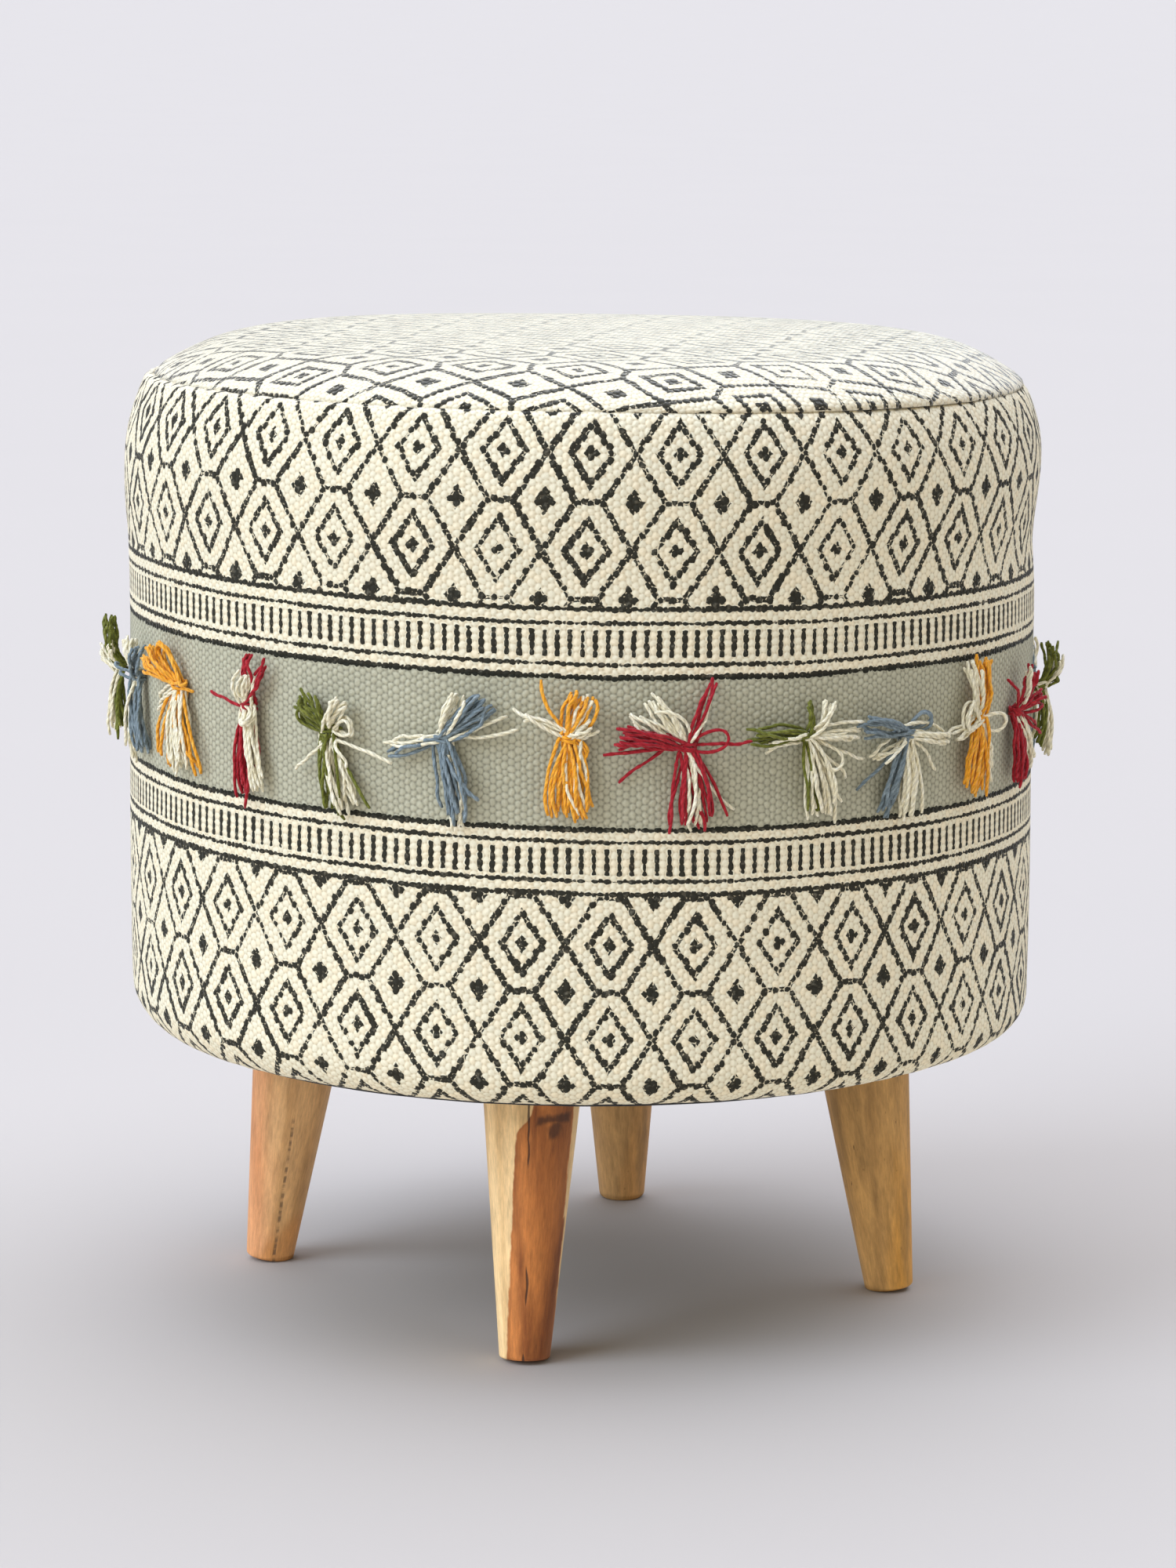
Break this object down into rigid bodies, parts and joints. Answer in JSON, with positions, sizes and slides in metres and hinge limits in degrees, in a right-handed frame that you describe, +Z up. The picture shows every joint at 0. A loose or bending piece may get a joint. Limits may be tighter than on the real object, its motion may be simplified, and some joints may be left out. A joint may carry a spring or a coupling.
{
  "type": "kilim ottoman",
  "caption": "Round padded ottoman with a block-printed canvas cover, a tasselled grey band and splayed, tapered wooden legs that unscrew.",
  "frame": {"origin": "on the floor, on the drum's axis", "axes": "+Z up along the drum's axis; the legs stand on the X and Y axes, with the front leg towards -Y"},
  "size_m": [0.426, 0.423, 0.427],
  "materials": {
    "printed_canvas": "matte",
    "seat_foam": "matte",
    "side_wadding": "matte",
    "hardboard": "matte",
    "plywood": "matte",
    "batten_wood": "matte",
    "leg_wood": "satin",
    "zinc_steel": "satin",
    "dust_cloth": "matte",
    "yarn_mustard": "matte",
    "yarn_red": "matte",
    "yarn_green": "matte",
    "yarn_blue": "matte"
  },
  "bodies": {
    "ottoman": {"cover_top": "printed_canvas", "cover_side": "printed_canvas", "seat_foam": "seat_foam", "side_padding": "side_wadding", "side_wall": "hardboard", "top_board": "plywood", "bottom_board": "plywood", "post_screws": "zinc_steel", "wall_nails": "zinc_steel", "hem_staples": "zinc_steel", "dust_cover": "dust_cloth", "dust_cover_staples": "zinc_steel", "leg_plate_screws": "zinc_steel", "post_1": "batten_wood", "post_2": "batten_wood", "post_3": "batten_wood", "post_4": "batten_wood", "leg_plate_right": "zinc_steel", "leg_plate_back": "zinc_steel", "leg_plate_left": "zinc_steel", "leg_plate_front": "zinc_steel", "tassel_01": "yarn_blue", "tassel_02": "yarn_mustard", "tassel_03": "yarn_red", "tassel_04": "yarn_green", "tassel_05": "yarn_blue", "tassel_06": "yarn_mustard", "tassel_07": "yarn_red", "tassel_08": "yarn_green", "tassel_09": "yarn_blue", "tassel_10": "yarn_mustard", "tassel_11": "yarn_red", "tassel_12": "yarn_green", "tassel_13": "yarn_blue", "tassel_14": "yarn_mustard", "tassel_15": "yarn_red", "tassel_16": "yarn_green", "tassel_17": "yarn_blue", "tassel_18": "yarn_mustard", "tassel_19": "yarn_red", "tassel_20": "yarn_green", "tassel_21": "yarn_blue", "tassel_22": "yarn_mustard", "tassel_23": "yarn_red", "tassel_24": "yarn_green", "tassel_25": "yarn_blue", "tassel_26": "yarn_mustard"},
    "right_washer": {"leg_washer_right": "zinc_steel"},
    "right_leg": {"leg_right": "leg_wood", "hanger_bolt_right": "zinc_steel"},
    "back_washer": {"leg_washer_back": "zinc_steel"},
    "back_leg": {"leg_back": "leg_wood", "hanger_bolt_back": "zinc_steel"},
    "left_washer": {"leg_washer_left": "zinc_steel"},
    "left_leg": {"leg_left": "leg_wood", "hanger_bolt_left": "zinc_steel"},
    "front_washer": {"leg_washer_front": "zinc_steel"},
    "front_leg": {"leg_front": "leg_wood", "hanger_bolt_front": "zinc_steel"}
  },
  "joints": [
    {"name": "right_leg_draw", "type": "slide", "parent": "ottoman", "child": "right_washer", "axis": [0.1271, 0, -0.9919], "range_m": [0, 0.015]},
    {"name": "right_leg_turn", "type": "hinge", "parent": "right_washer", "child": "right_leg", "pos_m": [0.12731, 0, 0.11471], "axis": [0.1271, 0, -0.9919], "range_deg": [0, 4320]},
    {"name": "back_leg_draw", "type": "slide", "parent": "ottoman", "child": "back_washer", "axis": [0, 0.1271, -0.9919], "range_m": [0, 0.015]},
    {"name": "back_leg_turn", "type": "hinge", "parent": "back_washer", "child": "back_leg", "pos_m": [0, 0.12731, 0.11471], "axis": [0, 0.1271, -0.9919], "range_deg": [0, 4320]},
    {"name": "left_leg_draw", "type": "slide", "parent": "ottoman", "child": "left_washer", "axis": [-0.1271, 0, -0.9919], "range_m": [0, 0.015]},
    {"name": "left_leg_turn", "type": "hinge", "parent": "left_washer", "child": "left_leg", "pos_m": [-0.12731, 0, 0.11471], "axis": [-0.1271, 0, -0.9919], "range_deg": [0, 4320]},
    {"name": "front_leg_draw", "type": "slide", "parent": "ottoman", "child": "front_washer", "axis": [0, -0.1271, -0.9919], "range_m": [0, 0.015]},
    {"name": "front_leg_turn", "type": "hinge", "parent": "front_washer", "child": "front_leg", "pos_m": [0, -0.12731, 0.11471], "axis": [0, -0.1271, -0.9919], "range_deg": [0, 4320]}
  ],
  "couplings": [
    {"joint": "right_leg_draw", "follows": "right_leg_turn", "m_per_rad": 0.00019894},
    {"joint": "back_leg_draw", "follows": "back_leg_turn", "m_per_rad": 0.00019894},
    {"joint": "left_leg_draw", "follows": "left_leg_turn", "m_per_rad": 0.00019894},
    {"joint": "front_leg_draw", "follows": "front_leg_turn", "m_per_rad": 0.00019894}
  ]
}
